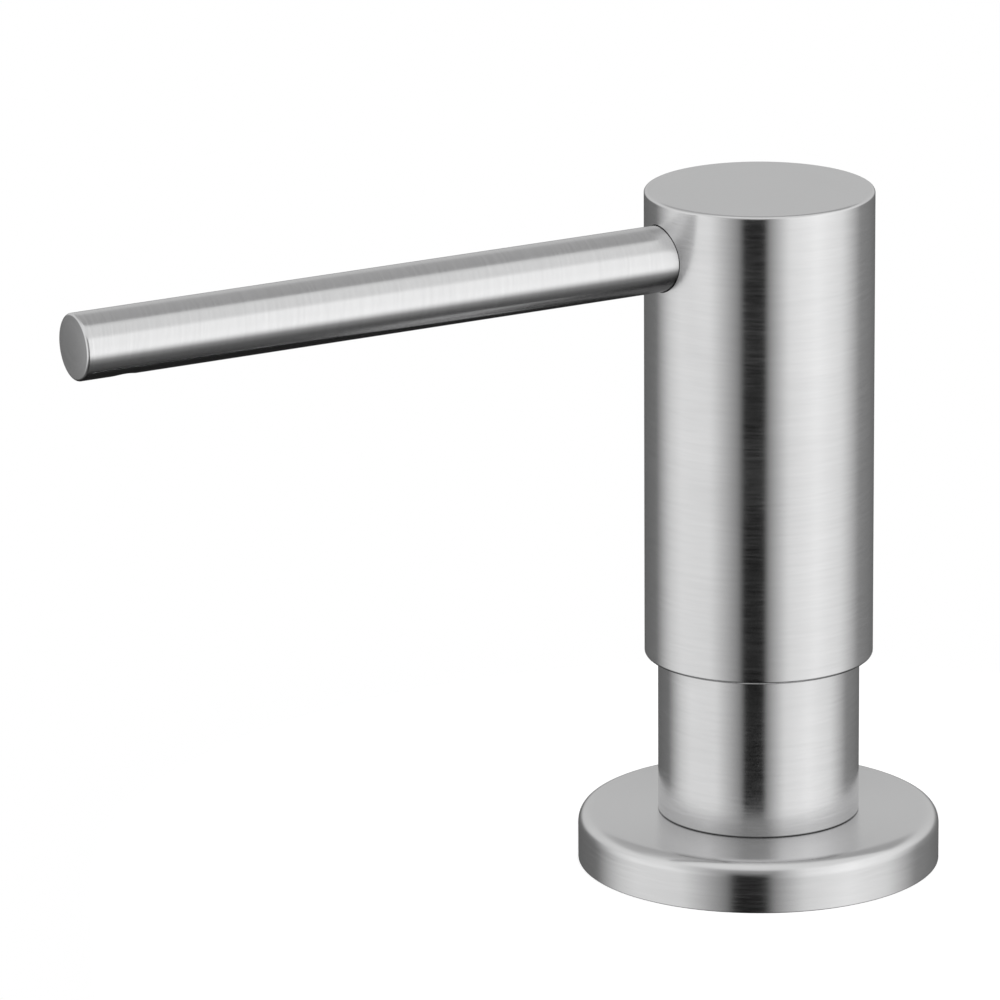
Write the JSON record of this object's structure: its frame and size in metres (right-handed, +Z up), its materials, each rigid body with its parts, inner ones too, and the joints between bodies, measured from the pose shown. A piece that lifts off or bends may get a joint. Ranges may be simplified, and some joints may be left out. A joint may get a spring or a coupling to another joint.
{
  "type": "soap pump dispenser",
  "caption": "Deck-mounted liquid soap dispenser: a cylindrical press-down head with a long straight rod spout on a round flange, and a threaded shank, nut and bottle below.",
  "frame": {"origin": "centre of the deck hole, on the main axis, at the deck's top surface where the flange sits", "axes": "+Z up along the main axis, -Y along the spout towards the user, +X to the right as seen by the user's side of the deck looking along +Y"},
  "size_m": [0.074, 0.1485, 0.298],
  "materials": {
    "brushed_steel": "brushed round the axis, satin",
    "bright_steel": "bright plated",
    "spring_steel": "drawn wire, semi-bright",
    "black_rubber": "matte",
    "black_plastic": "moulded, satin",
    "white_plastic": "moulded, satin",
    "grey_plastic": "moulded, satin",
    "natural_plastic": "unpigmented, translucent"
  },
  "bodies": {
    "fixture": {"flange": "brushed_steel", "flange_gasket": "black_rubber", "shank": "bright_steel", "sleeve": "brushed_steel"},
    "clamp_washers": {"rubber_washer": "black_rubber", "steel_washer": "bright_steel"},
    "nut": {"mounting_nut": "black_plastic"},
    "bottle_seal": {"bottle_gasket": "black_rubber"},
    "bottle": {"bottle": "natural_plastic"},
    "cartridge": {"pump_collar": "grey_plastic", "collar_oring": "black_rubber", "pump_cylinder": "white_plastic", "stem_guide": "grey_plastic", "inlet_cage": "white_plastic", "return_spring": "spring_steel", "dip_tube": "natural_plastic"},
    "inlet_valve": {"inlet_ball": "bright_steel"},
    "plunger": {"pump_stem": "white_plastic", "piston_seal": "natural_plastic", "piston_retainer": "white_plastic"},
    "outlet_valve": {"outlet_ball": "bright_steel"},
    "head": {"head_shell": "brushed_steel", "guide_band": "white_plastic", "head_core": "grey_plastic", "core_oring": "black_rubber", "spout_tube": "brushed_steel", "spout_cap": "brushed_steel", "spout_liner": "natural_plastic", "outlet_elbow": "black_plastic", "outlet_nozzle": "black_plastic"}
  },
  "joints": [
    {"name": "refill_lift", "type": "slide", "parent": "fixture", "child": "cartridge", "axis": [0, 0, 1], "range_m": [0, 0.25]},
    {"name": "head_press", "type": "slide", "parent": "cartridge", "child": "plunger", "axis": [0, 0, -1], "range_m": [0, 0.018], "stiffness_N_per_m": 400, "springref_m": -0.015, "deforming": ["return_spring"]},
    {"name": "head_swivel", "type": "hinge", "parent": "plunger", "child": "head", "pos_m": [0, 0, 0], "axis": [0, 0, 1], "continuous": true},
    {"name": "inlet_ball_lift", "type": "slide", "parent": "cartridge", "child": "inlet_valve", "axis": [0, 0, 1], "range_m": [0, 0.0015]},
    {"name": "outlet_ball_lift", "type": "slide", "parent": "plunger", "child": "outlet_valve", "axis": [0, 0, 1], "range_m": [0, 0.0015]},
    {"name": "nut_travel", "type": "slide", "parent": "fixture", "child": "clamp_washers", "axis": [0, 0, -1], "range_m": [0, 0.008]},
    {"name": "nut_turn", "type": "hinge", "parent": "clamp_washers", "child": "nut", "pos_m": [0, 0, 0], "axis": [0, 0, -1], "range_deg": [0, 720]},
    {"name": "bottle_travel", "type": "slide", "parent": "fixture", "child": "bottle_seal", "axis": [0, 0, -1], "range_m": [0, 0.016]},
    {"name": "bottle_turn", "type": "hinge", "parent": "bottle_seal", "child": "bottle", "pos_m": [0, 0, 0], "axis": [0, 0, -1], "range_deg": [0, 1440]}
  ],
  "couplings": [
    {"joint": "nut_travel", "follows": "nut_turn", "m_per_rad": 0.00063662},
    {"joint": "bottle_travel", "follows": "bottle_turn", "m_per_rad": 0.00063662}
  ]
}
